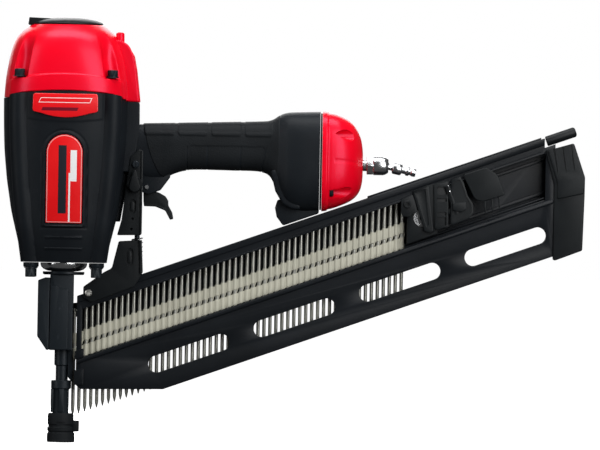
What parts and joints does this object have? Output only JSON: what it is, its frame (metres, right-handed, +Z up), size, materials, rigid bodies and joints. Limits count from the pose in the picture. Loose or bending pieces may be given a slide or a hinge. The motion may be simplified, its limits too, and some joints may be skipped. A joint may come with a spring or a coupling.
{
  "type": "pneumatic framing nailer",
  "caption": "Air-powered nail gun: upright barrel with red head, horizontal grip with trigger, contact nose, slanted nail magazine with pusher and swivel air plug.",
  "frame": {"origin": "on the nose pad's flat annular face, 7.5 mm from the drive axis on the magazine side of the nail hole", "axes": "+Z runs up the drive axis away from the nose, +X runs to the handle and the magazine's rear end, and Y = 0 is the plane of symmetry"},
  "size_m": [0.4888, 0.1036, 0.3564],
  "materials": {
    "red_paint": "gloss red powder coat",
    "black_casting": "matte black coated light-alloy casting",
    "black_rubber": "matte",
    "black_anodised": "satin black anodised",
    "black_plastic": "satin moulded",
    "dark_steel": "phosphated",
    "bright_steel": "bright plated",
    "zinc": "zinc plated",
    "aluminium": "machined",
    "amber_urethane": "satin"
  },
  "bodies": {
    "tool": {"main_body": "black_casting", "body_label": "red_paint", "head_badge": "red_paint", "grip_sleeve": "black_rubber", "head_gasket": "black_rubber", "head_cap": "red_paint", "head_bolt_front_near": "dark_steel", "head_bolt_front_far": "dark_steel", "head_bolt_rear_near": "dark_steel", "head_bolt_rear_far": "dark_steel", "nose_bolt_front_near": "dark_steel", "nose_bolt_front_far": "dark_steel", "nose_bolt_rear_near": "dark_steel", "nose_bolt_rear_far": "dark_steel", "deflector_screw": "dark_steel", "head_valve_spring": "bright_steel", "cylinder_sleeve": "aluminium", "bumper": "amber_urethane", "nose_ring": "bright_steel", "nose_body": "dark_steel", "nose_cover": "dark_steel", "contact_spring": "bright_steel", "arm_guard": "black_plastic", "guard_screw": "zinc", "trigger_pin": "bright_steel", "trigger_valve": "aluminium", "end_cap": "red_paint", "end_cap_gasket": "black_rubber", "end_cap_screw_near_top": "dark_steel", "end_cap_screw_near_low": "dark_steel", "end_cap_screw_far_top": "dark_steel", "end_cap_screw_far_low": "dark_steel", "magazine_body": "black_anodised", "magazine_rail": "black_anodised", "front_bracket": "black_plastic", "bracket_screw": "zinc", "rear_cap": "black_plastic", "rail_stop": "black_plastic", "nail_strip": "zinc"},
    "deflector": {"exhaust_deflector": "black_plastic"},
    "piston_unit": {"piston": "aluminium", "driver_blade": "bright_steel"},
    "head_valve_unit": {"head_valve": "black_plastic"},
    "trigger_unit": {"trigger": "black_plastic"},
    "stem_unit": {"valve_stem": "bright_steel"},
    "contact_unit": {"contact_arm": "dark_steel", "nose_pad": "black_rubber"},
    "depth_wheel_unit": {"depth_wheel": "black_plastic"},
    "selector_unit": {"mode_selector": "black_plastic"},
    "pusher_unit": {"pusher": "black_plastic", "pusher_coil": "bright_steel", "latch_pin": "bright_steel"},
    "latch_unit": {"pusher_latch": "black_plastic"},
    "swivel_unit": {"swivel_body": "bright_steel"},
    "plug_unit": {"swivel_plug": "bright_steel"}
  },
  "joints": [
    {"name": "deflector_turn", "type": "hinge", "parent": "tool", "child": "deflector", "pos_m": [-0.0075, 0, 0.35], "axis": [0, 0, 1], "continuous": true},
    {"name": "piston_stroke", "type": "slide", "parent": "tool", "child": "piston_unit", "axis": [0, 0, -1], "range_m": [0, 0.1174]},
    {"name": "head_valve_lift", "type": "slide", "parent": "tool", "child": "head_valve_unit", "axis": [0, 0, 1], "range_m": [0, 0.005], "stiffness_N_per_m": 500, "springref_m": -0.006, "deforming": ["head_valve_spring"]},
    {"name": "trigger_pull", "type": "hinge", "parent": "tool", "child": "trigger_unit", "pos_m": [0.0612, 0, 0.2155], "axis": [0, -1, 0], "range_deg": [0, 11], "stiffness_Nm_per_rad": 0.3, "springref_deg": -17.19},
    {"name": "valve_stem_press", "type": "slide", "parent": "tool", "child": "stem_unit", "axis": [0, 0, 1], "range_m": [0, 0.001], "stiffness_N_per_m": 200, "springref_m": -0.002},
    {"name": "contact_lift", "type": "slide", "parent": "tool", "child": "contact_unit", "axis": [0, 0, 1], "range_m": [0, 0.01], "stiffness_N_per_m": 2000, "springref_m": -0.018, "deforming": ["contact_spring"]},
    {"name": "depth_wheel_turn", "type": "hinge", "parent": "tool", "child": "depth_wheel_unit", "pos_m": [0.0511, -0.0188, 0.2175], "axis": [0, 1, 0], "continuous": true},
    {"name": "selector_turn", "type": "hinge", "parent": "tool", "child": "selector_unit", "pos_m": [0.0511, -0.02, 0.2175], "axis": [0, 1, 0], "range_deg": [0, 75]},
    {"name": "pusher_slide", "type": "slide", "parent": "tool", "child": "pusher_unit", "axis": [0.9417, 0, 0.3365], "range_m": [0, 0.035], "stiffness_N_per_m": 20, "springref_m": -0.5},
    {"name": "pusher_release", "type": "hinge", "parent": "pusher_unit", "child": "latch_unit", "pos_m": [0.32, -0.0142, 0.203], "axis": [-0.3365, 0, 0.9417], "range_deg": [0, 5], "stiffness_Nm_per_rad": 0.2, "springref_deg": -17.19},
    {"name": "swivel_spin", "type": "hinge", "parent": "tool", "child": "swivel_unit", "pos_m": [0.2525, 0, 0.2369], "axis": [1, 0, 0], "continuous": true},
    {"name": "swivel_tilt", "type": "hinge", "parent": "swivel_unit", "child": "plug_unit", "pos_m": [0.259, 0, 0.2369], "axis": [0, 1, 0], "range_deg": [-30, 6]}
  ],
  "couplings": [
    {"joint": "valve_stem_press", "follows": "trigger_pull", "m_per_rad": 0.0042}
  ]
}
